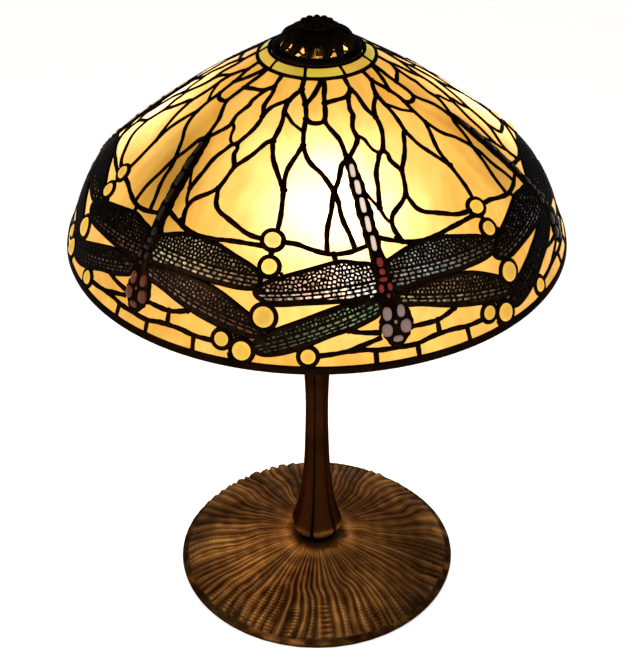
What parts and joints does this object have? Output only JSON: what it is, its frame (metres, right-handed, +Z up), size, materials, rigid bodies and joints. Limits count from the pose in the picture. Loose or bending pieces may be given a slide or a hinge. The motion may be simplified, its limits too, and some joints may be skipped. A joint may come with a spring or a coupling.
{
  "type": "stained glass table lamp",
  "caption": "Table lamp with a domed leaded glass shade of dragonflies over a cast bronze stem and round ribbed foot, lit from inside.",
  "frame": {"origin": "centre of the felt ring's underside, on the table top", "axes": "+Z up along the lamp's axis; -Y towards the viewer of the front, +X to the viewer's right"},
  "size_m": [0.4064, 0.4064, 0.5375],
  "materials": {
    "amber_glass": "opalescent amber art glass in dark leading, glowing warm over the bulbs",
    "crown_glass": "opalescent yellow-green art glass",
    "wing_glass": "mottled smoky glass behind a dark pierced metal filigree",
    "body_glass": "dark red and mauve cabochons in heavy leading",
    "dark_bronze": "near-black patinated bronze, satin",
    "base_bronze": "brown-gold patinated cast bronze with rubbed ribs",
    "stem_bronze": "dark brown patinated cast bronze with a rubbed copper-coloured foot",
    "brass_fittings": "satin aged brass",
    "iron": "dull grey cast iron and sheet steel",
    "felt": "dark green felt",
    "bushing": "black rubber",
    "bulb_glass": "frosted warm white bulb, lit"
  },
  "bodies": {
    "stand": {"base_casting": "base_bronze", "ballast_ring": "iron", "base_cover_plate": "iron", "felt_ring": "felt", "base_nut": "brass_fittings", "base_washer": "brass_fittings", "cord_bushing": "bushing", "lamp_pipe": "brass_fittings", "stem": "stem_bronze", "stem_collar": "dark_bronze", "cluster_body": "brass_fittings", "socket_arm_1": "brass_fittings", "socket_arm_2": "brass_fittings", "socket_arm_3": "brass_fittings", "socket_shell_1": "brass_fittings", "socket_shell_2": "brass_fittings", "socket_shell_3": "brass_fittings", "bulb_1": "bulb_glass", "bulb_2": "bulb_glass", "bulb_3": "bulb_glass", "riser_pipe": "brass_fittings", "shade_wheel": "brass_fittings", "wheel_nut": "brass_fittings"},
    "shade": {"aperture_ring": "brass_fittings", "crown_glass_ring": "crown_glass", "leaf_panel_1": "amber_glass", "leaf_panel_2": "amber_glass", "leaf_panel_3": "amber_glass", "leaf_panel_4": "amber_glass", "leaf_panel_5": "amber_glass", "leaf_panel_6": "amber_glass", "wing_panel_1": "wing_glass", "wing_panel_2": "wing_glass", "wing_panel_3": "wing_glass", "wing_panel_4": "wing_glass", "wing_panel_5": "wing_glass", "wing_panel_6": "wing_glass", "dragonfly_body_1": "body_glass", "dragonfly_body_2": "body_glass", "dragonfly_body_3": "body_glass", "dragonfly_body_4": "body_glass", "dragonfly_body_5": "body_glass", "dragonfly_body_6": "body_glass", "border_panel_1": "amber_glass", "border_panel_2": "amber_glass", "border_panel_3": "amber_glass", "border_panel_4": "amber_glass", "border_panel_5": "amber_glass", "border_panel_6": "amber_glass", "rim_band": "dark_bronze", "heat_cap": "dark_bronze"},
    "finial": {"finial_knob": "dark_bronze"},
    "pull_switch_1": {"pull_chain_1": "brass_fittings"},
    "pull_switch_2": {"pull_chain_2": "brass_fittings"},
    "pull_switch_3": {"pull_chain_3": "brass_fittings"}
  },
  "joints": [
    {"name": "shade_swivel", "type": "hinge", "parent": "stand", "child": "shade", "pos_m": [0, 0, 0.516], "axis": [0, 0, 1], "continuous": true},
    {"name": "finial_turn", "type": "hinge", "parent": "stand", "child": "finial", "pos_m": [0, 0, 0.5345], "axis": [0, 0, 1], "continuous": true},
    {"name": "pull_1", "type": "slide", "parent": "stand", "child": "pull_switch_1", "axis": [0, 0, -1], "range_m": [0, 0.012], "stiffness_N_per_m": 150, "springref_m": -0.002},
    {"name": "pull_2", "type": "slide", "parent": "stand", "child": "pull_switch_2", "axis": [0, 0, -1], "range_m": [0, 0.012], "stiffness_N_per_m": 150, "springref_m": -0.002},
    {"name": "pull_3", "type": "slide", "parent": "stand", "child": "pull_switch_3", "axis": [0, 0, -1], "range_m": [0, 0.012], "stiffness_N_per_m": 150, "springref_m": -0.002}
  ]
}
